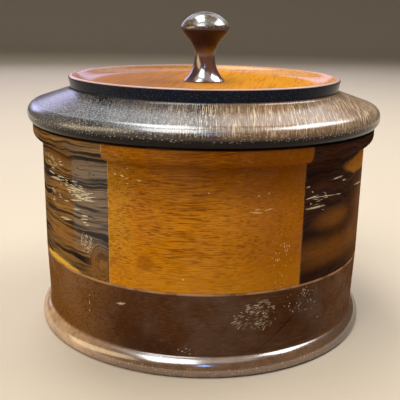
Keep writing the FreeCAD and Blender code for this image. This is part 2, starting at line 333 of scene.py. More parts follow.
def makeKnob(cfg):
    floor = lidTop - lidDish["depth"]
    slope = math.radians(cfg["headSlope"])
    waist = floor + cfg["waistHeight"]
    footTop = floor + cfg["footEdge"]
    flareReach = cfg["footRadius"] - cfg["waistRadius"]
    flareTop = waist - cfg["neckLength"]
    flareRise = flareTop - footTop
    flareRound = (flareReach ** 2 + flareRise ** 2) / (2 * flareReach)
    flareTurn = math.degrees(math.asin(flareRise / flareRound))
    edgeRadius = cfg["headRadius"] - cfg["headRound"]
    edgeLevel = knobTop - cfg["headDrop"]
    underRadius = edgeRadius + cfg["headRound"] * math.sin(slope)
    underLevel = edgeLevel - cfg["headRound"] * math.cos(slope)
    rise = (underLevel - waist) * math.cos(slope)
    reach = (underRadius - cfg["waistRadius"]) * math.sin(slope)
    neckRound = (rise - reach) / (1 - math.sin(slope))
    square = edgeRadius ** 2 + cfg["headDrop"] ** 2 - cfg["headRound"] ** 2
    crownRound = square / (2 * (cfg["headDrop"] - cfg["headRound"]))
    crownTurn = math.degrees(math.atan2(edgeRadius, crownRound - cfg["headDrop"]))
    pen = startPen(0, floor - cfg["tenonLength"])
    lineTo(pen, cfg["tenonRadius"], floor - cfg["tenonLength"])
    lineTo(pen, cfg["tenonRadius"], floor)
    lineTo(pen, cfg["footRadius"], floor)
    lineTo(pen, cfg["footRadius"], footTop)
    arcTo(pen, cfg["waistRadius"] + flareRound, flareTop, -flareTurn, steps=20)
    lineTo(pen, cfg["waistRadius"], waist)
    arcTo(pen, cfg["waistRadius"] + neckRound, waist, cfg["headSlope"] - quarter, steps=8)
    lineTo(pen, underRadius, underLevel)
    arcTo(pen, edgeRadius, edgeLevel, 2 * quarter - cfg["headSlope"] - crownTurn, steps=14)
    arcTo(pen, 0, knobTop - crownRound, crownTurn, steps=14)
    spinRound(pen["bm"], cfg["roundSteps"])
    return standFor(meshObject(pen["bm"], "knobTurned"), "knob")


basePiece = makeBase(baseBlock)
wallPieces = makeWall(stave)
lidRingPiece = makeLidRing(lidRing)
lidDishPiece = makeLidDish(lidDish)
knobPiece = makeKnob(knob)
print("turned pieces made")


# node helpers, used by the groups and the materials

def fillInputs(tree, node, inputs):
    for key, value in inputs.items():
        if isinstance(value, bpy.types.NodeSocket):
            tree.links.new(value, node.inputs[key])
        else:
            node.inputs[key].default_value = value
    return node


def addNode(tree, kind, inputs, **settings):
    node = tree.nodes.new(kind)
    for name, value in settings.items():
        setattr(node, name, value)
    return fillInputs(tree, node, inputs)


def calc(tree, operation, first, second=0.0, third=0.0, clamp=False):
    node = addNode(tree, "ShaderNodeMath", {0: first, 1: second, 2: third}, operation=operation,
                   use_clamp=clamp)
    return node.outputs[0]


def times(tree, first, *others):
    for other in others:
        first = calc(tree, "MULTIPLY", first, other)
    return first


def vectorCalc(tree, operation, first, second):
    node = addNode(tree, "ShaderNodeVectorMath", {0: first, 1: second}, operation=operation)
    return node.outputs["Value"] if operation == "DOT_PRODUCT" else node.outputs[0]


def vectorLength(tree, vector):
    return addNode(tree, "ShaderNodeVectorMath", {0: vector}, operation="LENGTH").outputs["Value"]


def fade(tree, value, low, high, outLow=0.0, outHigh=1.0):
    node = addNode(tree, "ShaderNodeMapRange", {0: value, 1: low, 2: high, 3: outLow, 4: outHigh},
                   interpolation_type="SMOOTHSTEP")
    return node.outputs[0]


def between(tree, value, start, full, last, gone, most=1.0):
    # rises from start to full, stays, and falls from last to gone
    return times(tree, fade(tree, value, start, full), fade(tree, value, gone, last, 0.0, most))


def tint(tree, colour, paint, mask, strength=1.0):
    # lay a paint over a colour where the mask is bright
    node = addNode(tree, "ShaderNodeMix", {0: times(tree, mask, strength), 6: colour, 7: paint},
                   data_type="RGBA")
    return node.outputs[2]


def noise(tree, vector, scale, detail=2.0, roughness=0.5):
    node = addNode(tree, "ShaderNodeTexNoise", {"Vector": vector, "Scale": scale, "Detail": detail,
                                                "Roughness": roughness})
    return node.outputs[0]


def splitVector(tree, vector):
    return addNode(tree, "ShaderNodeSeparateXYZ", {0: vector}).outputs


def joinVector(tree, x, y, z=0.0):
    return addNode(tree, "ShaderNodeCombineXYZ", {0: x, 1: y, 2: z}).outputs[0]


def rgb(red, green, blue):
    return (red, green, blue, 1.0)


def newGroup(name, vectors, values, results):
    # the results are values too, apart from one named Place
    tree = bpy.data.node_groups.new(name, "ShaderNodeTree")
    sockets = [(label, "INPUT", "Vector") for label in vectors]
    sockets += [(label, "INPUT", "Float") for label in values]
    sockets += [(label, "OUTPUT", "Vector" if label == "Place" else "Float") for label in results]
    for label, side, kind in sockets:
        tree.interface.new_socket(name=label, in_out=side, socket_type=f"NodeSocket{kind}")
    return tree, tree.nodes.new("NodeGroupInput").outputs, tree.nodes.new("NodeGroupOutput").inputs


def useGroup(tree, group, inputs):
    node = tree.nodes.new("ShaderNodeGroup")
    node.node_tree = group
    return fillInputs(tree, node, inputs).outputs


# effects that several woods share, in millimetres

def makeUnrolledGroup():
    # surface laid flat: distance round the wall from the side that faces -Y, and height
    tree, given, result = newGroup("unrolled", ["Vector"], [], ["Place", "Radius", "Height"])
    x, y, z = splitVector(tree, given["Vector"])
    angle = calc(tree, "ARCTAN2", x, times(tree, y, -1.0))
    away = times(tree, angle, stave["wallRadius"] / mm)
    tree.links.new(joinVector(tree, away, z), result["Place"])
    tree.links.new(vectorLength(tree, joinVector(tree, x, y)), result["Radius"])
    tree.links.new(z, result["Height"])
    return tree


def cellPattern(tree, vector, dimensions):
    # scattered cells: distance from each one's middle, and two random lots that it draws
    voronoi = addNode(tree, "ShaderNodeTexVoronoi", {"Vector": vector, "Scale": 1.0},
                      voronoi_dimensions=dimensions)
    lots = addNode(tree, "ShaderNodeSeparateColor", {0: voronoi.outputs["Color"]}).outputs
    return voronoi.outputs["Distance"], lots[0], lots[1]


pore = {"coreShare": 0.5}


def makePoreGroup(cfg):
    # solid pores: thin cells drawn out along X and by Depth along Y, some of them filled
    tree, given, result = newGroup("grainPores", ["Vector"], ["Length", "Width", "Depth", "Amount", "Fill"],
                                   ["Mask"])
    along = calc(tree, "DIVIDE", 1.0, given["Length"])
    across = calc(tree, "DIVIDE", 1.0, given["Width"])
    deep = calc(tree, "DIVIDE", across, given["Depth"])
    cells = vectorCalc(tree, "MULTIPLY", given["Vector"], joinVector(tree, along, deep, across))
    distance, lot, _ = cellPattern(tree, cells, "3D")
    shape = fade(tree, distance, given["Fill"], times(tree, given["Fill"], cfg["coreShare"]))
    chosen = calc(tree, "LESS_THAN", lot, given["Amount"])
    tree.links.new(times(tree, shape, chosen), result["Mask"])
    return tree


woodFigure = {
    "driftStretch": (0.3, 1.0, 1.0),
    "ringStretch": (0.05, 1.0, 0.18),
    "fibreStretch": 0.05,
    "slowDetail": (2.0, 0.5),  # detail and roughness of the noise
    "fibreDetail": (3.0, 0.65),
}


def makeFigureGroup(cfg):
    # slow colour drift, growth rings across Y and fine fibres, all drawn out along X
    # Depth draws the fibres out along Y too
    tree, given, result = newGroup("woodFigure", ["Vector"], ["Drift", "Ring", "Fibre", "Depth"],
                                   ["Drift", "Ring", "Fibre"])
    slow = vectorCalc(tree, "MULTIPLY", given["Vector"], cfg["driftStretch"])
    layers = vectorCalc(tree, "MULTIPLY", given["Vector"], cfg["ringStretch"])
    deep = calc(tree, "DIVIDE", 1.0, given["Depth"])
    fine = vectorCalc(tree, "MULTIPLY", given["Vector"], joinVector(tree, cfg["fibreStretch"], deep, 1.0))
    tree.links.new(noise(tree, slow, given["Drift"], *cfg["slowDetail"]), result["Drift"])
    tree.links.new(noise(tree, layers, given["Ring"], *cfg["slowDetail"]), result["Ring"])
    tree.links.new(noise(tree, fine, given["Fibre"], *cfg["fibreDetail"]), result["Fibre"])
    return tree


nick = {
    "middleShare": 0.5,
    "taper": (0.1, 0.5, 1.0, 0.35),
    "coreShare": 0.35,
    "frayNoise": (2.4, 3.0, 0.75),
    "frayReach": 4.0,
    "frayShift": -1.85,
}


def makeNickGroup(cfg):
    # one stroke from a start to an end point, tapered at both ends and frayed by Ragged
    tree, given, result = newGroup("nick", ["Place", "Start", "End"], ["Width", "Ragged"], ["Mask"])
    reach = vectorCalc(tree, "SUBTRACT", given["Place"], given["Start"])
    run = vectorCalc(tree, "SUBTRACT", given["End"], given["Start"])
    share = calc(tree, "DIVIDE", vectorCalc(tree, "DOT_PRODUCT", reach, run),
                 vectorCalc(tree, "DOT_PRODUCT", run, run), clamp=True)
    foot = addNode(tree, "ShaderNodeVectorMath", {0: run, "Scale": share}, operation="SCALE").outputs[0]
    gap = vectorLength(tree, vectorCalc(tree, "SUBTRACT", reach, foot))
    edge = calc(tree, "MULTIPLY_ADD", given["Ragged"], given["Width"], gap)
    fromMiddle = calc(tree, "ABSOLUTE", calc(tree, "SUBTRACT", share, cfg["middleShare"]))
    width = times(tree, given["Width"], fade(tree, fromMiddle, *cfg["taper"]))
    tree.links.new(fade(tree, edge, width, times(tree, width, cfg["coreShare"])), result["Mask"])
    return tree


def spotReach(tree, given):
    # place from a patch's centre, and how far out that is as a share of the patch's half size
    local = vectorCalc(tree, "SUBTRACT", given["Place"], given["Centre"])
    return local, vectorLength(tree, vectorCalc(tree, "DIVIDE", local, given["Half Size"]))


scuff = {
    "bendScale": 0.22,
    "bendReach": (3.0, 3.0, 0.0),
    "strokeEdge": (0.42, 0.2),
    "thinning": (1.0, 0.3),
    "faintness": (0.0, 1.0, 0.35, 1.0),
    "raggedNoise": (0.3, 3.0, 0.7),
    "raggedEdge": (0.3, 0.5),
}


def makeScuffGroup(cfg):
    # a patch of short curved strokes that thins out from the patch's middle
    tree, given, result = newGroup("scuffPatch", ["Place", "Centre", "Half Size"],
                                   ["Tilt", "Stroke", "Width", "Amount"], ["Mask"])
    local, reach = spotReach(tree, given)
    turned = addNode(tree, "ShaderNodeVectorRotate", {"Vector": local, "Angle": given["Tilt"]},
                     rotation_type="Z_AXIS").outputs[0]
    bend = addNode(tree, "ShaderNodeTexNoise", {"Vector": turned, "Scale": cfg["bendScale"]}).outputs["Color"]
    bent = vectorCalc(tree, "ADD", turned, vectorCalc(tree, "MULTIPLY", bend, cfg["bendReach"]))
    along = calc(tree, "DIVIDE", 1.0, given["Stroke"])
    across = calc(tree, "DIVIDE", 1.0, given["Width"])
    cells = vectorCalc(tree, "MULTIPLY", bent, joinVector(tree, along, across, 1.0))
    distance, lot, otherLot = cellPattern(tree, cells, "2D")
    stroke = fade(tree, distance, *cfg["strokeEdge"])
    chosen = calc(tree, "LESS_THAN", lot, times(tree, given["Amount"], fade(tree, reach, *cfg["thinning"])))
    faint = fade(tree, otherLot, *cfg["faintness"])
    ragged = fade(tree, noise(tree, local, *cfg["raggedNoise"]), *cfg["raggedEdge"])
    tree.links.new(times(tree, stroke, chosen, ragged, faint), result["Mask"])
    return tree


spot = {"unevenNoise": (0.12, 2.0, 0.5), "unevenness": 0.5}


def makeSpotGroup(cfg):
    # a soft oval with an uneven outline
    tree, given, result = newGroup("softSpot", ["Place", "Centre", "Half Size"], ["Softness"], ["Mask"])
    _, reach = spotReach(tree, given)
    inward = calc(tree, "SUBTRACT", reach, cfg["unevenness"] / 2)
    swell = noise(tree, given["Place"], *cfg["unevenNoise"])
    uneven = calc(tree, "MULTIPLY_ADD", swell, cfg["unevenness"], inward)
    outer = calc(tree, "ADD", 1.0, given["Softness"])
    inner = calc(tree, "SUBTRACT", 1.0, given["Softness"])
    tree.links.new(fade(tree, uneven, outer, inner), result["Mask"])
    return tree


handLacquer = {
    "patchNoise": (0.06, 4.0, 0.6),
    "rubStretch": (0.3, 0.3, 2.4),
    "rubNoise": (1.0, 3.0, 0.65),
    "rubShare": 0.5,
    "evenLevel": 0.75,
    "swing": 2.0,
    "rippleNoise": (0.14, 2.0, 0.5),
    "rubRipple": 0.12,
    "thinNoise": (0.05, 4.0, 0.65),
    "thinEdge": (0.35, 0.65, 0.0),
    "markDullness": 0.3,
}


def makeLacquerGroup(cfg):
    # hand-rubbed lacquer: patchy dullness, fine rubbing marks and a faint ripple
    tree, given, result = newGroup("handLacquer", ["Vector"], ["Roughness", "Patchiness"],
                                   ["Roughness", "Ripple"])
    patches = noise(tree, given["Vector"], *cfg["patchNoise"])
    rubbed = vectorCalc(tree, "MULTIPLY", given["Vector"], cfg["rubStretch"])
    rubbing = noise(tree, rubbed, *cfg["rubNoise"])
    both = calc(tree, "MULTIPLY_ADD", rubbing, cfg["rubShare"], patches)
    swing = times(tree, calc(tree, "SUBTRACT", both, cfg["evenLevel"]), given["Patchiness"])
    rough = calc(tree, "MULTIPLY_ADD", swing, cfg["swing"], given["Roughness"], clamp=True)
    tree.links.new(rough, result["Roughness"])
    ripple = noise(tree, given["Vector"], *cfg["rippleNoise"])
    tree.links.new(calc(tree, "MULTIPLY_ADD", rubbing, cfg["rubRipple"], ripple), result["Ripple"])
    return tree


unrolledGroup = makeUnrolledGroup()
poreGroup = makePoreGroup(pore)
figureGroup = makeFigureGroup(woodFigure)
nickGroup = makeNickGroup(nick)
scuffGroup = makeScuffGroup(scuff)
spotGroup = makeSpotGroup(spot)
lacquerGroup = makeLacquerGroup(handLacquer)


# steps that the woods share: each begins with startWood and ends with finishWood

def newMaterial(name, constants):
    material = bpy.data.materials.new(name)
    material.use_nodes = True
    tree = material.node_tree
    return material, tree, fillInputs(tree, tree.nodes["Principled BSDF"], constants)


def startWood(name, cfg, middle=frontAngle):
    # millimetre coordinates, turned so that the piece's own middle faces -Y
    material, tree, shader = newMaterial(name, cfg["gloss"])
    place = addNode(tree, "ShaderNodeTexCoord", {}).outputs["Object"]
    turn = (0.0, 0.0, math.radians(frontAngle - middle))
    local = addNode(tree, "ShaderNodeMapping", {"Vector": place, "Rotation": turn, "Scale": [1 / mm] * 3})
    return material, tree, shader, local.outputs[0]


def finishWood(tree, shader, cfg, colour, local, coat, sunk=0.0, dulled=0.0):
    # lacquer over the colour, lower where the wood is sunk and rougher where it is dulled
    lacquer = useGroup(tree, lacquerGroup, {"Vector": local, **cfg["lacquer"]})
    rough = calc(tree, "MULTIPLY_ADD", dulled, handLacquer["markDullness"], lacquer["Roughness"], clamp=True)
    height = calc(tree, "MULTIPLY_ADD", sunk, cfg["sinking"], lacquer["Ripple"])
    bump = addNode(tree, "ShaderNodeBump", {"Height": height, "Distance": cfg["bumpDepth"], "Strength": 1.0})
    fillInputs(tree, shader, {"Base Color": colour, "Roughness": rough, "Coat Weight": coat,
                              "Normal": bump.outputs[0]})


def layGrain(tree, vector, degrees, shift):
    # another spot of the plank, with the grain turned a little from the chord
    return addNode(tree, "ShaderNodeMapping", {"Vector": vector, "Location": shift,
                                               "Rotation": (0.0, 0.0, math.radians(degrees))}).outputs[0]


def drawFigure(tree, grain, cfg):
    return useGroup(tree, figureGroup, {"Vector": grain, **cfg["figure"]})


def scatter(tree, vector, cells, **more):
    return useGroup(tree, poreGroup, {"Vector": vector, **cells, **more})["Mask"]


def thinLacquer(tree, vector, most):
    # lacquer that is rubbed away in places
    patches = noise(tree, vector, *handLacquer["thinNoise"])
    return fade(tree, patches, *handLacquer["thinEdge"], most)


def frayed(tree, place):
    # uneven edge for the nicks of one piece
    wander = noise(tree, place, *nick["frayNoise"])
    return calc(tree, "MULTIPLY_ADD", wander, nick["frayReach"], nick["frayShift"])


def scratch(tree, place, stroke, ragged):
    start, end, width = stroke
    return useGroup(tree, nickGroup, {"Place": place, "Start": (*start, 0.0), "End": (*end, 0.0),
                                      "Width": width, "Ragged": ragged})["Mask"]


def scuffPatch(tree, place, patch):
    centre, half, tilt, stroke, width, amount = patch
    return useGroup(tree, scuffGroup, {"Place": place, "Centre": (*centre, 0.0), "Half Size": (*half, 1.0),
                                       "Tilt": math.radians(tilt), "Stroke": stroke, "Width": width,
                                       "Amount": amount})["Mask"]


def allMarks(tree, place, look):
    # every nick and scuff patch of one piece in a single mask
    ragged = frayed(tree, place)
    masks = [scratch(tree, place, stroke, ragged) for stroke in look["nicks"]]
    masks += [scuffPatch(tree, place, patch) for patch in look["patches"]]
    total = masks[0]
    for mask in masks[1:]:
        total = calc(tree, "MAXIMUM", total, mask)
    return total


def paintSpots(tree, colour, place, spots, paint, strength, softness):
    # soft uneven ovals of another colour
    for centre, half in spots:
        mask = useGroup(tree, spotGroup, {"Place": place, "Centre": (*centre, 0.0), "Half Size": (*half, 1.0),
                                          "Softness": softness})["Mask"]
        colour = tint(tree, colour, paint, mask, strength)
    return colour


def dress(piece, material):
    piece.data.materials.clear()
    piece.data.materials.append(material)


# in the woods below, a fade has its start and end, and some have their strength at both
# a zone starts, is full, begins to end and is gone at its first four numbers, and a fifth is its strength
# a noise has a scale, a detail and a roughness; spots share a strength and a softness
# a nick has a start, an end and a width; a patch a centre, half size, tilt, stroke, width and amount

wallFinish = {
    # painted shade for the crevice under the lid
    "creviceShade": rgb(0.006, 0.004, 0.003),
    "creviceShadeDrop": (1.3, 0.7, 0.0, 0.95),
    "creviceShadeRadii": (69.5, 71.5),
    "wallSheenZone": (38.0, 50.0, wallTop / mm - 8.0, wallTop / mm - 1.0),
    "seamWidth": 0.6,
    "seamStretch": 0.1,
    "seamNoise": (0.35, 2.0),
    "seamBreaks": (0.35, 0.6),
}


def paintedWallSheen(tree, colour, place, zone, wallSheen, strength):
    # painted reflection: a pale haze of a bright window in the lacquer, from one place round the wall to
    # another, in the upper two thirds
    along, level, _ = splitVector(tree, place)
    upright = between(tree, level, *wallFinish["wallSheenZone"])
    return tint(tree, colour, wallSheen, times(tree, between(tree, along, *zone), upright), strength)


def seatCreviceShade(tree, colour, surface):
    # painted shade: a dark line on the band's outer top edge where the lid sits, for the shadowed crevice
    # under the lid
    drop = calc(tree, "SUBTRACT", wallTop / mm, surface["Height"])
    outer = fade(tree, surface["Radius"], *wallFinish["creviceShadeRadii"])
    return tint(tree, colour, wallFinish["creviceShade"], fade(tree, drop, *wallFinish["creviceShadeDrop"]), outer)


def jointGlueAndGlint(tree, place, span):
    # thin broken pale line along both long edges of a stave: glue, and a painted reflection on the joint's
    # edge
    along, height, _ = splitVector(tree, place)
    halfWidth = math.radians(span / 2) * stave["wallRadius"] / mm
    seamWidth = wallFinish["seamWidth"]
    edge = fade(tree, calc(tree, "ABSOLUTE", along), halfWidth - seamWidth, halfWidth - seamWidth / 2)
    drawnOut = joinVector(tree, times(tree, along, wallFinish["seamStretch"]), height)
    breaks = noise(tree, drawnOut, *wallFinish["seamNoise"])
    return times(tree, edge, fade(tree, breaks, *wallFinish["seamBreaks"]))


lightWood = {
    "deep": rgb(0.33, 0.092, 0.0025),
    "warm": rgb(0.52, 0.185, 0.005),
    "pale": rgb(0.66, 0.28, 0.012),
    "line": rgb(0.17, 0.045, 0.002),
    "pore": rgb(0.09, 0.024, 0.002),
    "wallSheen": rgb(0.62, 0.33, 0.03),
    "blemish": rgb(0.20, 0.045, 0.004),
    "nick": rgb(0.75, 0.58, 0.30),
    "glue": rgb(0.55, 0.34, 0.13),
    # painted shade colour for the wall under the lid's overhang
    "overhangShade": rgb(0.10, 0.028, 0.003),
    "grainTurn": 5.0,
    "plankStep": (91.0, 37.0, 13.0),
    "figure": {"Drift": 0.05, "Ring": 0.45, "Fibre": 2.3, "Depth": 2.2},
    "warmDrift": (0.3, 0.62),
    "paleFibre": (0.48, 0.34, 0.0, 0.5),
    "wallSheenZone": (-40.0, -39.0, -33.0, -24.0),
    "wallSheenStrength": 0.4,
    "ringWeight": (0.32, 0.62, 0.45, 0.8),
    "lineFibre": (0.51, 0.62),
    "longPores": {"Length": 9.0, "Width": 0.46, "Depth": 2.6, "Fill": 0.36},
    "finePores": {"Length": 4.0, "Width": 0.36, "Depth": 2.0, "Amount": 0.7, "Fill": 0.38},
    "finePoreStrength": 0.7,
    "poreStrength": 0.8,
    "blemishSpots": (0.5, 0.35),
    "rightShadeAlong": (2.0, 26.0, 0.0, 0.6),
    "lowerLightLevels": (52.0, 34.0, 0.0, 0.3),
    "overhangShadeLevels": (61.0, 74.0, 0.0, 0.5),
    "nickStrength": 0.8,
    "glueAndGlintAlong": (10.0, -10.0, 0.1, 0.6),
    "lacquer": {"Roughness": 0.34, "Patchiness": 0.1},
    "gloss": {"Specular IOR Level": 0.0, "Coat Roughness": 0.18, "Coat IOR": 1.5},
    "coatMost": 0.3,
    "sinking": -0.35,
    "bumpDepth": 0.06 * mm,
    "staves": [
        {"blemishes": [((-22.4, 43.6), (3.0, 3.2))],
         "nicks": [((0.2, 70.9), (0.9, 70.9), 0.4), ((16.0, 63.6), (20.5, 63.1), 0.36),
                   ((20.8, 63.8), (24.2, 64.5), 0.28), ((17.0, 64.4), (19.5, 64.5), 0.24),
                   ((-8.6, 38.3), (-7.6, 38.4), 0.4), ((18.0, 69.3), (19.0, 69.7), 0.3),
                   ((22.3, 69.9), (22.7, 70.5), 0.3)],
         "patches": [((29.0, 46.0), (5.0, 16.0), 80.0, 1.4, 0.6, 0.2),
                     ((-28.0, 75.0), (9.0, 3.5), 0.0, 2.4, 0.9, 0.4)]},
        {"blemishes": [((4.0, 61.0), (2.6, 3.0))],
         "nicks": [((-12.0, 60.0), (-8.0, 60.6), 0.35), ((9.0, 45.0), (9.8, 45.2), 0.4)],
         "patches": [((18.0, 52.0), (8.0, 5.0), 20.0, 2.0, 0.6, 0.4)]},
        {"blemishes": [((14.0, 52.0), (2.2, 3.6))],
         "nicks": [((6.0, 66.0), (9.5, 65.2), 0.32), ((-20.0, 41.0), (-19.2, 41.3), 0.4)],
         "patches": [((-8.0, 49.0), (7.0, 6.0), -15.0, 2.0, 0.6, 0.4)]},
    ],
}


def makeLightWood(cfg, pair):
    look = cfg["staves"][pair]
    material, tree, shader, local = startWood(f"lightWood{pair + 1}", cfg, staveMiddle("light", pair))
    surface = useGroup(tree, unrolledGroup, {"Vector": local})
    place = surface["Place"]
    along, level, _ = splitVector(tree, place)
    grain = layGrain(tree, local, cfg["grainTurn"], [pair * step for step in cfg["plankStep"]])
    figure = drawFigure(tree, grain, cfg)
    colour = tint(tree, cfg["deep"], cfg["warm"], fade(tree, figure["Drift"], *cfg["warmDrift"]))
    colour = tint(tree, colour, cfg["pale"], fade(tree, figure["Fibre"], *cfg["paleFibre"]))
    # painted reflection of a window's haze on the light stave
    colour = paintedWallSheen(tree, colour, place, cfg["wallSheenZone"], cfg["wallSheen"], cfg["wallSheenStrength"])
    weight = fade(tree, figure["Ring"], *cfg["ringWeight"])
    colour = tint(tree, colour, cfg["line"], fade(tree, figure["Fibre"], *cfg["lineFibre"]), weight)
    longPores = scatter(tree, grain, cfg["longPores"], Amount=weight)
    finePores = times(tree, scatter(tree, grain, cfg["finePores"]), cfg["finePoreStrength"])
    pores = calc(tree, "MAXIMUM", longPores, finePores)
    colour = tint(tree, colour, cfg["pore"], pores, cfg["poreStrength"])
    colour = paintSpots(tree, colour, place, look["blemishes"], cfg["blemish"], *cfg["blemishSpots"])
    # painted shade: each light stave darker towards its right-hand edge
    colour = tint(tree, colour, cfg["deep"], fade(tree, along, *cfg["rightShadeAlong"]))
    # painted light: paler towards the foot of the stave
    colour = tint(tree, colour, cfg["pale"], fade(tree, level, *cfg["lowerLightLevels"]))
    # painted shade: darker towards the top of the wall, under the lid's overhang
    colour = tint(tree, colour, cfg["overhangShade"], fade(tree, level, *cfg["overhangShadeLevels"]))
    marks = allMarks(tree, place, look)
    colour = tint(tree, colour, cfg["nick"], marks, cfg["nickStrength"])
    seam = jointGlueAndGlint(tree, place, staveSpan("light"))
    # the pale joint line, glue with a painted reflection, stronger on the left edge
    colour = tint(tree, colour, cfg["glue"], seam, fade(tree, along, *cfg["glueAndGlintAlong"]))
    colour = seatCreviceShade(tree, colour, surface)
    coat = thinLacquer(tree, local, cfg["coatMost"])
    finishWood(tree, shader, cfg, colour, local, coat, sunk=pores, dulled=marks)
    return material


darkWood = {
    "nick": rgb(0.80, 0.72, 0.50),
    "glue": rgb(0.40, 0.27, 0.13),
    "wallSheen": rgb(0.20, 0.19, 0.175),
    "plankStep": 17.0,
    "leanLevels": (36.0, 64.0),
    "waveNoise": (0.06, 2.0),
    "noiseMiddle": 0.5,
    "knotSquash": (1.6, 1.15, 0.0),
    "knotCore": 3.0,
    "knotNoise": (0.2, 3.0, 0.6),
    "knotUneven": 6.0,
    "knotReach": (10.0, 3.0),
    "knotSpacing": 1.1,
    "lineStretch": 0.035,
    "bandNoise": (1.3, 3.0, 0.65),
    "bandEdge": (0.36, 0.64),
    "stripeNoise": (0.42, 3.0, 0.55),
    "hairNoise": (1.0, 1.0),
    "hairEdge": (0.53, 0.63, 0.0, 0.8),
    "knotZone": (1.4, 2.4, 4.0, 5.2, 0.9),
    "knotRingNoise": (0.22, 2.0),
    "knotRingBreaks": (0.38, 0.55),
    "wallSheenUnder": 0.42,
    "wallSheenOver": 0.12,
    "glowSpots": (0.45, 0.8),
    "sapSpots": (0.9, 0.12),
    "pores": {"Length": 8.0, "Width": 0.7, "Depth": 2.0, "Amount": 0.6, "Fill": 0.28},
    "poreStrength": 0.6,
    "nickStrength": 0.85,
    "glueStrength": 0.12,
    "lacquer": {"Roughness": 0.26, "Patchiness": 0.12},
    "gloss": {"Specular IOR Level": 0.0, "Coat Roughness": 0.14, "Coat IOR": 1.5},
    "coatMost": 0.05,
    "sinking": -0.3,
    "bumpDepth": 0.06 * mm,
    "staves": [
        # right of the front: near black with curly figure and an orange sapwood patch under the band
        {"ground": rgb(0.062, 0.022, 0.010), "band": rgb(0.036, 0.014, 0.008),
         "stripe": rgb(0.017, 0.008, 0.006), "stripeEdge": (0.42, 0.70),
         "lean": (0.10, -0.04), "pivot": -10.0, "wave": 9.0, "knot": (18.0, 58.0),
         "wallSheenZone": (30.0, 31.0, 32.0, 33.0),
         "sapwood": rgb(0.36, 0.135, 0.015), "sap": [((14.0, 75.2), (25.0, 4.2))],
         "glow": rgb(0.34, 0.125, 0.016),
         "glows": [((-17.0, 56.2), (10.0, 3.6)), ((-17.0, 44.0), (22.0, 5.0)), ((16.0, 50.0), (16.0, 18.0))],
         "nicks": [((-34.4, 62.4), (-24.3, 62.5), 0.5), ((-34.5, 66.2), (-28.2, 67.0), 0.4),
                   ((-34.6, 70.6), (-32.6, 70.9), 0.3), ((-32.0, 68.9), (-30.7, 68.4), 0.3),
                   ((-20.1, 71.9), (-13.0, 72.1), 0.36), ((-13.1, 70.2), (-10.6, 70.3), 0.36),
                   ((-0.9, 66.1), (12.9, 64.8), 0.36), ((-17.3, 65.5), (-13.9, 65.1), 0.3),
                   ((-29.2, 66.4), (-17.6, 65.5), 0.22)],
         "patches": [((-28.0, 64.5), (7.0, 4.5), 4.0, 5.0, 0.5, 0.5)]},
        # back
        {"ground": rgb(0.15, 0.062, 0.017), "band": rgb(0.075, 0.034, 0.014),
         "stripe": rgb(0.016, 0.010, 0.008), "stripeEdge": (0.51, 0.58),
         "lean": (-0.2, 0.10), "pivot": 10.0, "wave": 7.0, "knot": (-24.0, 52.0),
         "wallSheenZone": (-30.0, -29.0, -20.0, -12.0),
         "sapwood": rgb(0.50, 0.25, 0.04), "sap": [((-14.0, 34.0), (15.0, 4.0))],
         "glow": rgb(0.22, 0.09, 0.02), "glows": [((10.0, 62.0), (14.0, 6.0))],
         "nicks": [((-6.0, 58.0), (0.5, 58.8), 0.4), ((12.0, 69.0), (17.0, 68.2), 0.35)],
         "patches": [((8.0, 50.0), (9.0, 5.0), -10.0, 5.0, 0.6, 0.6)]},
        # left of the front: striped, with a yellow sapwood sliver at its foot
        {"ground": rgb(0.29, 0.145, 0.034), "band": rgb(0.11, 0.064, 0.028),
         "stripe": rgb(0.016, 0.011, 0.010), "stripeEdge": (0.50, 0.59),
         "lean": (-0.02, 0.02), "pivot": 30.0, "wave": 5.0, "knot": (32.0, 40.0),
         "wallSheenZone": (16.0, 16.9, 40.0, 41.0),
         "sapwood": rgb(0.75, 0.44, 0.05), "sap": [((3.0, 31.6), (17.0, 3.8))],
         "glow": rgb(0.30, 0.13, 0.03),
         "glows": [((8.0, 46.0), (12.0, 4.0)), ((31.0, 38.0), (6.0, 6.0)), ((4.0, 76.0), (12.0, 3.0)),
                   ((8.0, 62.0), (8.0, 3.0))],
         "nicks": [((-4.8, 69.5), (2.3, 69.2), 0.4), ((-2.1, 67.4), (7.1, 68.5), 0.36),
                   ((1.3, 67.3), (11.2, 68.5), 0.3), ((4.5, 69.1), (10.7, 69.5), 0.3),
                   ((15.4, 69.1), (19.6, 69.5), 0.28), ((13.2, 66.2), (21.6, 66.9), 0.36),
                   ((12.6, 65.2), (18.5, 65.9), 0.28), ((17.9, 64.5), (21.8, 64.0), 0.6),
                   ((18.5, 63.5), (24.2, 63.4), 0.4), ((21.0, 64.5), (28.2, 66.7), 0.3),
                   ((21.8, 63.6), (29.6, 65.5), 0.3), ((24.2, 63.2), (28.8, 63.7), 0.3),
                   ((10.6, 60.4), (13.9, 60.8), 0.3), ((14.9, 61.6), (21.8, 62.7), 0.36),
                   ((16.2, 58.4), (20.7, 58.9), 0.28), ((6.3, 52.7), (13.4, 53.7), 0.34),
                   ((8.8, 52.4), (14.9, 53.6), 0.28), ((21.5, 56.8), (25.5, 57.3), 0.4),
                   ((21.0, 55.3), (25.1, 55.9), 0.34), ((22.2, 54.4), (24.7, 54.5), 0.3),
                   ((23.4, 53.5), (25.8, 53.8), 0.3)],
         "patches": [((2.0, 73.5), (11.0, 4.0), 6.0, 7.0, 0.5, 0.6),
                     ((18.0, 66.0), (12.0, 4.5), 3.0, 4.5, 0.45, 0.6),
                     ((22.0, 64.8), (6.0, 2.8), -6.0, 3.0, 0.5, 1.1),
                     ((24.0, 46.5), (5.0, 4.5), 35.0, 2.2, 0.6, 0.9),
                     ((2.0, 60.5), (8.0, 4.0), 8.0, 6.0, 0.5, 0.4)]},
    ],
}


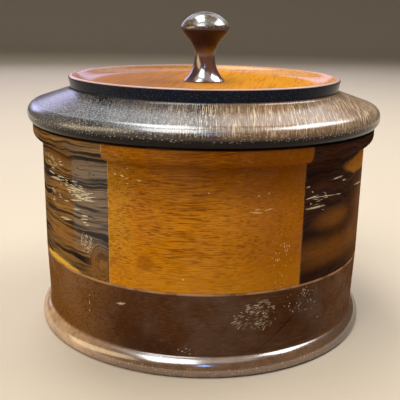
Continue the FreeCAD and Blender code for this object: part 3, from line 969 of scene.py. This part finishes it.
def growthLayers(tree, cfg, look, local, place):
    # depth through the growth layers: tilted one way below and another above, wavy, and wrapped round a knot
    along, level, _ = splitVector(tree, place)
    lean = fade(tree, level, *cfg["leanLevels"], *look["lean"])
    unevenness = calc(tree, "SUBTRACT", noise(tree, local, *cfg["waveNoise"]), cfg["noiseMiddle"])
    lever = times(tree, lean, calc(tree, "SUBTRACT", along, look["pivot"]))
    layer = calc(tree, "MULTIPLY_ADD", unevenness, look["wave"], calc(tree, "SUBTRACT", level, lever))
    away = vectorCalc(tree, "SUBTRACT", place, (*look["knot"], 0.0))
    reach = vectorLength(tree, vectorCalc(tree, "MULTIPLY", away, cfg["knotSquash"]))
    fromKnot = calc(tree, "SUBTRACT", reach, cfg["knotCore"])
    fromKnot = calc(tree, "MULTIPLY_ADD", noise(tree, place, *cfg["knotNoise"]), cfg["knotUneven"], fromKnot)
    wrapped = addNode(tree, "ShaderNodeMix", {0: fade(tree, fromKnot, *cfg["knotReach"]), 2: layer,
                                              3: times(tree, fromKnot, cfg["knotSpacing"])})
    return wrapped.outputs[0], fromKnot


def makeDarkWood(cfg, pair):
    look = cfg["staves"][pair]
    material, tree, shader, local = startWood(f"darkWood{pair + 1}", cfg, staveMiddle("dark", pair))
    surface = useGroup(tree, unrolledGroup, {"Vector": local})
    place = surface["Place"]
    layer, fromKnot = growthLayers(tree, cfg, look, local, place)
    drawnOut = times(tree, splitVector(tree, place)[0], cfg["lineStretch"])
    lines = joinVector(tree, layer, drawnOut, pair * cfg["plankStep"])
    bands = fade(tree, noise(tree, lines, *cfg["bandNoise"]), *cfg["bandEdge"])
    colour = tint(tree, look["ground"], look["band"], bands)
    # painted reflection of a window's haze: once under the stripes and once, fainter, over them
    colour = paintedWallSheen(tree, colour, place, look["wallSheenZone"], cfg["wallSheen"], cfg["wallSheenUnder"])
    stripes = fade(tree, noise(tree, lines, *cfg["stripeNoise"]), *look["stripeEdge"])
    hairlines = fade(tree, noise(tree, lines, *cfg["hairNoise"]), *cfg["hairEdge"])
    colour = tint(tree, colour, look["stripe"], calc(tree, "MAXIMUM", stripes, hairlines))
    breaks = fade(tree, noise(tree, place, *cfg["knotRingNoise"]), *cfg["knotRingBreaks"])
    colour = tint(tree, colour, look["stripe"], between(tree, fromKnot, *cfg["knotZone"]), breaks)
    colour = paintedWallSheen(tree, colour, place, look["wallSheenZone"], cfg["wallSheen"], cfg["wallSheenOver"])
    colour = paintSpots(tree, colour, place, look["glows"], look["glow"], *cfg["glowSpots"])
    colour = paintSpots(tree, colour, place, look["sap"], look["sapwood"], *cfg["sapSpots"])
    pores = scatter(tree, local, cfg["pores"])
    colour = tint(tree, colour, look["stripe"], pores, cfg["poreStrength"])
    marks = allMarks(tree, place, look)
    colour = tint(tree, colour, cfg["nick"], marks, cfg["nickStrength"])
    seam = jointGlueAndGlint(tree, place, staveSpan("dark"))
    colour = tint(tree, colour, cfg["glue"], seam, cfg["glueStrength"])
    colour = seatCreviceShade(tree, colour, surface)
    coat = thinLacquer(tree, local, cfg["coatMost"])
    finishWood(tree, shader, cfg, colour, local, coat, sunk=pores, dulled=marks)
    return material


baseWood = {
    "deep": rgb(0.044, 0.015, 0.006),
    "warm": rgb(0.074, 0.028, 0.010),
    "fibre": rgb(0.15, 0.07, 0.028),
    "leftLitSide": rgb(0.19, 0.080, 0.018),
    "rightShadedSide": rgb(0.13, 0.045, 0.010),
    # paler foot colour: partly wear, partly a painted reflection
    "foot": rgb(0.20, 0.100, 0.046),
    "footLitLeft": rgb(0.62, 0.39, 0.21),
    "footShadedRight": rgb(0.05, 0.036, 0.028),
    "glue": rgb(0.44, 0.23, 0.105),
    "scuff": rgb(0.60, 0.48, 0.32),
    "crackColour": rgb(0.012, 0.005, 0.003),
    "leftLitZone": (-24.0, -62.0, -80.0, -130.0, 0.9),
    "rightShadedZone": (42.0, 66.0, 80.0, 130.0, 0.8),
    "grainTurn": -28.0,
    "plank": (40.0, 11.0, 5.0),
    "figure": {"Drift": 0.05, "Fibre": 1.3, "Depth": 2.0},
    "warmDrift": (0.35, 0.62),
    "deepFibre": (0.45, 0.7, 0.0, 0.7),
    "paleFibre": (0.42, 0.28, 0.0, 0.45),
    "pores": {"Length": 9.0, "Width": 0.5, "Depth": 2.0, "Amount": 0.6, "Fill": 0.28},
    "poreStrength": 0.6,
    "crack": ((45.8, 28.6), (20.5, 8.0), 0.5),
    "crackStrength": 0.85,
    "footHeight": (7.6, 6.6),
    "footNoise": (0.2, 5.0, 0.7),
    "footWearAndSheen": (0.25, 0.7, 0.3, 0.9),
    "chips": {"Length": 1.3, "Width": 0.6, "Depth": 1.0, "Amount": 0.4, "Fill": 0.36},
    "chipHeight": (5.0, 3.0, 0.1, 0.55),
    "rimDrop": (1.1, 0.5),
    "rimNoise": (0.12, 3.0, 0.6),
    "rimBreaks": (0.3, 0.55, 0.15, 0.8),
    "scuffStrength": 0.8,
    "lacquer": {"Roughness": 0.3, "Patchiness": 0.1},
    "gloss": {"Specular IOR Level": 0.0, "Coat Roughness": 0.17, "Coat IOR": 2.45},
    "coatMost": 0.15,
    "sinking": -0.25,
    "bumpDepth": 0.06 * mm,
    "nicks": [((-34.4, 25.2), (-31.0, 25.9), 0.7), ((-48.5, 25.5), (-48.5, 24.6), 0.4),
              ((-48.6, 22.6), (-48.6, 21.4), 0.4), ((-48.8, 18.8), (-48.8, 18.0), 0.35),
              ((39.6, 30.4), (40.2, 30.4), 0.5), ((33.2, 24.9), (33.7, 24.7), 0.45),
              ((35.2, 22.4), (35.7, 22.2), 0.45), ((49.2, 16.3), (49.8, 16.1), 0.5),
              ((44.2, 24.9), (44.8, 24.7), 0.4)],
    "patches": [((12.8, 21.2), (4.8, 3.4), -35.0, 3.2, 0.42, 0.75),
                ((21.2, 26.6), (7.6, 4.2), -12.0, 3.4, 0.42, 0.75),
                ((22.7, 19.8), (6.4, 3.8), -40.0, 3.2, 0.42, 0.7),
                ((18.5, 23.0), (11.0, 8.0), 30.0, 2.0, 0.4, 0.22),
                ((-6.0, 9.6), (5.0, 2.2), 0.0, 1.2, 0.7, 0.5),
                ((40.0, 26.0), (11.0, 7.0), 45.0, 1.0, 0.6, 0.2)],
}


def footFinish(tree, cfg, colour, local, height, leftward, rightward):
    # glossy bead at the foot: paler, partly from wear and partly as a painted reflection, lighter on the left
    # as painted light and darker on the right as painted shade, and chipped low down
    foot = fade(tree, height, *cfg["footHeight"])
    worn = fade(tree, noise(tree, local, *cfg["footNoise"]), *cfg["footWearAndSheen"])
    footColour = tint(tree, cfg["foot"], cfg["footLitLeft"], leftward)
    footColour = tint(tree, footColour, cfg["footShadedRight"], rightward)
    colour = tint(tree, colour, footColour, foot, worn)
    chips = times(tree, scatter(tree, local, cfg["chips"]), fade(tree, height, *cfg["chipHeight"]))
    return tint(tree, colour, cfg["scuff"], chips, foot), foot


def makeBaseWood(cfg):
    material, tree, shader, local = startWood("baseWood", cfg)
    surface = useGroup(tree, unrolledGroup, {"Vector": local})
    place = surface["Place"]
    along, height, _ = splitVector(tree, place)
    leftward = between(tree, along, *cfg["leftLitZone"])
    rightward = between(tree, along, *cfg["rightShadedZone"])
    grain = layGrain(tree, local, cfg["grainTurn"], cfg["plank"])
    figure = drawFigure(tree, grain, cfg)
    colour = tint(tree, cfg["deep"], cfg["warm"], fade(tree, figure["Drift"], *cfg["warmDrift"]))
    # painted light on the base's left side and painted shade on its right side
    colour = tint(tree, colour, cfg["leftLitSide"], leftward)
    colour = tint(tree, colour, cfg["rightShadedSide"], rightward)
    colour = tint(tree, colour, cfg["deep"], fade(tree, figure["Fibre"], *cfg["deepFibre"]))
    colour = tint(tree, colour, cfg["fibre"], fade(tree, figure["Fibre"], *cfg["paleFibre"]))
    pores = scatter(tree, grain, cfg["pores"])
    colour = tint(tree, colour, cfg["deep"], pores, cfg["poreStrength"])
    crack = scratch(tree, place, cfg["crack"], frayed(tree, place))
    colour = tint(tree, colour, cfg["crackColour"], crack, cfg["crackStrength"])
    colour, foot = footFinish(tree, cfg, colour, local, height, leftward, rightward)
    rim = fade(tree, calc(tree, "SUBTRACT", baseTop / mm, height), *cfg["rimDrop"])
    breaks = fade(tree, noise(tree, local, *cfg["rimNoise"]), *cfg["rimBreaks"])
    colour = tint(tree, colour, cfg["glue"], rim, breaks)
    marks = allMarks(tree, place, cfg)
    colour = tint(tree, colour, cfg["scuff"], marks, cfg["scuffStrength"])
    coat = calc(tree, "MAXIMUM", foot, thinLacquer(tree, local, cfg["coatMost"]))
    finishWood(tree, shader, cfg, colour, local, coat, sunk=pores, dulled=marks)
    return material


ringWood = {
    "deep": rgb(0.013, 0.011, 0.011),
    "brown": rgb(0.055, 0.046, 0.040),
    "rightBrown": rgb(0.24, 0.120, 0.046),
    "straw": rgb(0.66, 0.54, 0.33),
    "dust": rgb(0.50, 0.50, 0.51),
    "worn": rgb(0.46, 0.44, 0.41),
    # collar: darker than the ring's own wood and tinted blue, a painted reflection of a dark room and a blue
    # light
    "collar": rgb(0.005, 0.008, 0.018),
    # edge colour: partly wear, partly a painted highlight
    "edge": rgb(0.44, 0.26, 0.17),
    "sheetSquash": (1.0, 0.6, 0.1),
    "grainTurn": -87.0,
    "plank": (0.0, 7.0, 3.0),
    "figure": {"Drift": 0.07, "Ring": 0.25, "Fibre": 3.0, "Depth": 1.0},
    "brownDrift": (0.35, 0.65),
    "rightDrift": 50.0,
    "rightAcross": (-5.0, 55.0, 0.0, 0.8),
    "deepFibre": (0.45, 0.35, 0.0, 0.6),
    "strawAcross": (-26.0, 2.0, 0.12, 1.0),
    "strawRing": (0.36, 0.62, 0.35, 1.0),
    "strawFibre": (0.53, 0.6),
    "flecks": {"Length": 24.0, "Width": 0.5, "Depth": 1.0, "Amount": 0.35, "Fill": 0.3},
    "fleckStrength": 0.4,
    "strawStrength": 0.75,
    "coneHeight": (2.8, 5.2),  # heights and zones are above the seat, drops below the collar's top
    "coneDrop": (4.6, 5.8),
    "specks": {"Length": 0.9, "Width": 0.5, "Depth": 1.0, "Amount": 0.85, "Fill": 0.45},
    "dustAcross": (25.0, -20.0, 0.12, 0.36),
    "collarDrop": (5.2, 4.6),
    "collarDust": 0.05,
    "rimWearHighlightDrop": (0.5, 0.2, 0.0, 0.85),
    "beadShadeHeight": (4.6, 2.2),
    "rimZone": (1.6, 2.8, 5.2, 6.4),
    "rimAside": (20.0, 50.0, 0.5, 0.85),
    "chips": {"Length": 1.3, "Width": 0.6, "Depth": 0.6, "Amount": 0.5, "Fill": 0.42},
    "beadZone": (2.4, 4.4, 6.8, 8.0),
    "shineAcross": (-50.0, 5.0, 0.06, 0.6),
    "lacquer": {"Roughness": 0.2, "Patchiness": 0.06},
    "gloss": {"Specular IOR Level": 0.1, "Coat Roughness": 0.24, "Coat IOR": 1.9},
    "sinking": -0.25,
    "bumpDepth": 0.08 * mm,
}


def strawStreaks(tree, cfg, x, figure, grain):
    # pale streaks and flecks, few on the left and crowded in some layers
    crowd = fade(tree, figure["Ring"], *cfg["strawRing"])
    streaks = times(tree, fade(tree, figure["Fibre"], *cfg["strawFibre"]), crowd)
    flecks = times(tree, scatter(tree, grain, cfg["flecks"]), cfg["fleckStrength"])
    pale = calc(tree, "MAXIMUM", streaks, flecks)
    return times(tree, pale, fade(tree, x, *cfg["strawAcross"]), cfg["strawStrength"])


def makeRingWood(cfg):
    material, tree, shader, local = startWood("lidRingWood", cfg)
    x, _, z = splitVector(tree, local)
    height = calc(tree, "SUBTRACT", z, wallTop / mm)
    drop = calc(tree, "SUBTRACT", lidTop / mm, z)
    # the layers stand on edge, so that streaks run down the cone
    sheets = vectorCalc(tree, "MULTIPLY", local, cfg["sheetSquash"])
    grain = layGrain(tree, sheets, cfg["grainTurn"], cfg["plank"])
    figure = drawFigure(tree, grain, cfg)
    rightward = calc(tree, "MULTIPLY_ADD", figure["Drift"], cfg["rightDrift"], x)
    colour = tint(tree, cfg["deep"], cfg["brown"], fade(tree, figure["Drift"], *cfg["brownDrift"]))
    colour = tint(tree, colour, cfg["rightBrown"], fade(tree, rightward, *cfg["rightAcross"]))
    colour = tint(tree, colour, cfg["deep"], fade(tree, figure["Fibre"], *cfg["deepFibre"]))
    cone = times(tree, fade(tree, drop, *cfg["coneDrop"]), fade(tree, height, *cfg["coneHeight"]))
    pale = times(tree, strawStreaks(tree, cfg, x, figure, grain), cone)
    colour = tint(tree, colour, cfg["straw"], pale)
    specks = scatter(tree, local, cfg["specks"])
    dusty = times(tree, fade(tree, x, *cfg["dustAcross"]), cone)
    colour = tint(tree, colour, cfg["dust"], specks, dusty)
    # painted reflection: the collar's upright face darkened and tinted blue
    collar = fade(tree, drop, *cfg["collarDrop"])
    colour = tint(tree, colour, cfg["collar"], collar)
    colour = tint(tree, colour, cfg["dust"], times(tree, specks, collar), cfg["collarDust"])
    # pale line round the collar's top edge: partly wear, partly a painted highlight
    colour = tint(tree, colour, cfg["edge"], fade(tree, drop, *cfg["rimWearHighlightDrop"]))
    # painted shade: the bead's lower half darkened towards the ring's deep colour, under the lid
    colour = tint(tree, colour, cfg["deep"], fade(tree, height, *cfg["beadShadeHeight"]))
    handled = fade(tree, calc(tree, "ABSOLUTE", x), *cfg["rimAside"])
    rim = times(tree, between(tree, height, *cfg["rimZone"]), handled)
    colour = tint(tree, colour, cfg["worn"], scatter(tree, local, cfg["chips"]), rim)
    shine = times(tree, cone, fade(tree, x, *cfg["shineAcross"]))
    coat = calc(tree, "MAXIMUM", shine, between(tree, height, *cfg["beadZone"]))
    finishWood(tree, shader, cfg, colour, local, coat, sunk=pale)
    return material


dishWood = {
    "salmon": rgb(0.235, 0.098, 0.040),
    "golden": rgb(0.41, 0.162, 0.010),
    "line": rgb(0.12, 0.035, 0.005),
    "grainTurn": -80.0,
    "plank": (60.0, 20.0, 0.0),
    "figure": {"Drift": 0.08, "Fibre": 0.7, "Depth": 1.0},
    "goldenDrift": 30.0,
    "goldenAcross": (-12.0, 32.0),
    "lineFibre": (0.45, 0.7, 0.0, 0.45),
    "pores": {"Length": 8.0, "Width": 0.5, "Depth": 1.0, "Amount": 0.4, "Fill": 0.34},
    "poreStrength": 0.22,
    "lacquer": {"Roughness": 0.34, "Patchiness": 0.03},
    "gloss": {"Specular IOR Level": 0.0, "Coat Roughness": 0.2, "Coat IOR": 1.5},
    "coatRadii": (45.0, 50.0, 0.04, 0.6),  # satin floor, glossy cove
    "sinking": 0.0,
    "bumpDepth": 0.02 * mm,
}


def makeDishWood(cfg):
    material, tree, shader, local = startWood("lidDishWood", cfg)
    x = splitVector(tree, local)[0]
    grain = layGrain(tree, local, cfg["grainTurn"], cfg["plank"])
    figure = drawFigure(tree, grain, cfg)
    side = calc(tree, "MULTIPLY_ADD", figure["Drift"], cfg["goldenDrift"], x)
    colour = tint(tree, cfg["salmon"], cfg["golden"], fade(tree, side, *cfg["goldenAcross"]))
    colour = tint(tree, colour, cfg["line"], fade(tree, figure["Fibre"], *cfg["lineFibre"]))
    colour = tint(tree, colour, cfg["line"], scatter(tree, grain, cfg["pores"]), cfg["poreStrength"])
    radius = useGroup(tree, unrolledGroup, {"Vector": local})["Radius"]
    finishWood(tree, shader, cfg, colour, local, fade(tree, radius, *cfg["coatRadii"]))
    return material


knobWood = {
    "deep": rgb(0.055, 0.019, 0.013),
    "warm": rgb(0.14, 0.050, 0.032),
    "crown": rgb(0.050, 0.042, 0.022),
    "neckShade": rgb(0.026, 0.008, 0.012),
    "straw": rgb(0.27, 0.245, 0.15),
    "figure": {"Drift": 0.12},
    "warmDrift": (0.35, 0.65),
    "flecks": {"Length": 1.6, "Width": 0.5, "Depth": 1.0, "Amount": 0.8, "Fill": 0.42},
    "crownDrop": (7.6, 6.0),  # drops and the zone are below the top of the knob
    "crownStrength": 0.75,
    "crownDullness": 0.45,
    "handledDrop": (1.6, 0.4, 1.0, 0.1),
    "neckShadeZone": (6.4, 7.6, 13.0, 20.0),
    "neckShadeStrength": 0.9,
    "neckDullness": 0.92,
    "lacquer": {"Roughness": 0.4, "Patchiness": 0.06},
    "gloss": {"Specular IOR Level": 0.1, "Coat Roughness": 0.16, "Coat IOR": 2.5},
    "sinking": 0.0,
    "bumpDepth": 0.03 * mm,
}


def makeKnobWood(cfg):
    material, tree, shader, local = startWood("knobWood", cfg)
    drop = calc(tree, "SUBTRACT", knobTop / mm, splitVector(tree, local)[2])
    upright = (0.0, math.radians(quarter), 0.0)
    grain = addNode(tree, "ShaderNodeMapping", {"Vector": local, "Rotation": upright}).outputs[0]
    figure = drawFigure(tree, grain, cfg)
    colour = tint(tree, cfg["deep"], cfg["warm"], fade(tree, figure["Drift"], *cfg["warmDrift"]))
    crown = fade(tree, drop, *cfg["crownDrop"])
    colour = tint(tree, colour, cfg["crown"], crown, cfg["crownStrength"])
    colour = tint(tree, colour, cfg["straw"], scatter(tree, grain, cfg["flecks"]), crown)
    # painted shade: the neck under the head darkened to a purplish maroon
    neckShade = between(tree, drop, *cfg["neckShadeZone"])
    colour = tint(tree, colour, cfg["neckShade"], neckShade, cfg["neckShadeStrength"])
    handled = fade(tree, drop, *cfg["handledDrop"])  # fingers have dulled the very top
    lost = calc(tree, "MULTIPLY_ADD", neckShade, cfg["neckDullness"], times(tree, crown, cfg["crownDullness"]))
    finishWood(tree, shader, cfg, colour, local, calc(tree, "SUBTRACT", handled, lost, clamp=True))
    return material


dress(basePiece, makeBaseWood(baseWood))
for pair in range(stavePairs):
    dress(wallPieces["light", pair], makeLightWood(lightWood, pair))
    dress(wallPieces["dark", pair], makeDarkWood(darkWood, pair))
dress(lidRingPiece, makeRingWood(ringWood))
dress(lidDishPiece, makeDishWood(dishWood))
dress(knobPiece, makeKnobWood(knobWood))
print("woods laid on")


studioCove = {
    "floorRadius": 2.0,
    "sweepRadius": 0.8,
    "wallHeight": 0.9,
    "roundSteps": 96,
    "paper": {"Base Color": rgb(0.47, 0.39, 0.29), "Roughness": 0.7, "Specular IOR Level": 0.1},
}


def makeCove(cfg):
    # plain pale floor that sweeps up into a low wall all round
    pen = startPen(0, 0)
    lineTo(pen, cfg["floorRadius"], 0)
    arcTo(pen, cfg["floorRadius"], cfg["sweepRadius"], quarter, steps=16)
    lineTo(pen, cfg["floorRadius"] + cfg["sweepRadius"], cfg["sweepRadius"] + cfg["wallHeight"])
    spinRound(pen["bm"], cfg["roundSteps"])
    cove = meshObject(pen["bm"], "studioCove")
    dress(cove, newMaterial("palePaper", cfg["paper"])[0])


studioLight = {
    "aim": (0.0, 0.0, 80 * mm),
    "airColour": rgb(0.9, 0.93, 1.0),
    "airStrength": 0.05,
    # direction from the jar, distance, size across and deep, brightness, colour
    "softboxes": {
        "ceiling": ((-0.08, -0.25, 0.96), 1.3, 1.7, 1.2, 0.9, (1.0, 0.98, 0.95)),
        "backHaze": ((0.05, 0.72, 0.70), 1.35, 1.6, 0.6, 1.8, (0.86, 0.93, 1.0)),
        "lilacWall": ((-0.20, 0.93, 0.30), 1.4, 1.6, 0.35, 2.8, (0.62, 0.62, 1.0)),
        "frontWindow": ((-0.28, -0.50, 0.82), 1.2, 0.6, 0.7, 7.4, (0.97, 0.98, 1.0)),
        "lampLeft": ((-0.20, 0.22, 0.95), 1.15, 0.4, 0.8, 10.5, (0.97, 0.99, 1.0)),
        "lampRight": ((0.60, 0.20, 0.77), 1.15, 0.36, 0.9, 9.0, (0.97, 0.99, 1.0)),
        "warmBounce": ((-0.92, -0.30, 0.25), 0.9, 0.9, 0.36, 2.2, (1.0, 0.80, 0.48)),
        "blueScreen": ((0.03, -0.86, 0.5), 0.9, 0.07, 0.07, 25.0, (0.2, 0.45, 1.0)),
    },
}


def makeSoftbox(name, aim, direction, distance, width, depth, brightness, colour):
    lamp = bpy.data.lights.new(name, "AREA")
    lamp.shape = "RECTANGLE"
    lamp.size = width
    lamp.size_y = depth
    lamp.energy = brightness * math.pi * width * depth
    lamp.color = colour
    holder = bpy.data.objects.new(name, lamp)
    away = Vector(direction).normalized()
    across = (Vector((1, 0, 0)) - away * away.x).normalized()
    facing = Matrix((across, away.cross(across), away)).transposed().to_4x4()
    holder.matrix_world = Matrix.Translation(Vector(aim) + away * distance) @ facing
    bpy.context.scene.collection.objects.link(holder)


def makeLights(cfg):
    for name, box in cfg["softboxes"].items():
        makeSoftbox(name, cfg["aim"], *box)
    world = bpy.data.worlds.new("studioAir")
    world.use_nodes = True
    background = world.node_tree.nodes["Background"]
    background.inputs["Color"].default_value = cfg["airColour"]
    background.inputs["Strength"].default_value = cfg["airStrength"]
    bpy.context.scene.world = world


photoCamera = {
    "place": (0.0, -295.476 * mm, 131.606 * mm),
    "pitch": 15.618,
    "yaw": -0.186,
    "roll": 0.997,
    "around": -1.45,
    "focalPixels": 672.26,
    "framePixels": 400,
    "sensor": 36.0,
    "clipStart": 10 * mm,
}


def makeCamera(cfg):
    pitch = math.radians(cfg["pitch"])
    yaw = math.radians(cfg["yaw"])
    roll = math.radians(cfg["roll"])
    forward = Vector((math.sin(yaw) * math.cos(pitch), math.cos(yaw) * math.cos(pitch), -math.sin(pitch)))
    right = forward.cross(Vector((0, 0, 1))).normalized()
    up = right.cross(forward)
    tiltedRight = right * math.cos(roll) + up * math.sin(roll)
    tiltedUp = up * math.cos(roll) - right * math.sin(roll)
    look = Matrix((tiltedRight, tiltedUp, -forward)).transposed().to_4x4()
    lens = bpy.data.cameras.new("photoCamera")
    lens.sensor_width = cfg["sensor"]
    lens.sensor_fit = "HORIZONTAL"
    lens.lens = cfg["focalPixels"] / cfg["framePixels"] * cfg["sensor"]
    lens.clip_start = cfg["clipStart"]
    camera = bpy.data.objects.new("photoCamera", lens)
    orbit = Matrix.Rotation(math.radians(cfg["around"]), 4, "Z")
    camera.matrix_world = orbit @ Matrix.Translation(cfg["place"]) @ look
    bpy.context.scene.collection.objects.link(camera)
    bpy.context.scene.camera = camera


makeCove(studioCove)
makeLights(studioLight)
makeCamera(photoCamera)
bpy.context.scene.view_settings.view_transform = "Standard"
print("studio, lights and camera set")
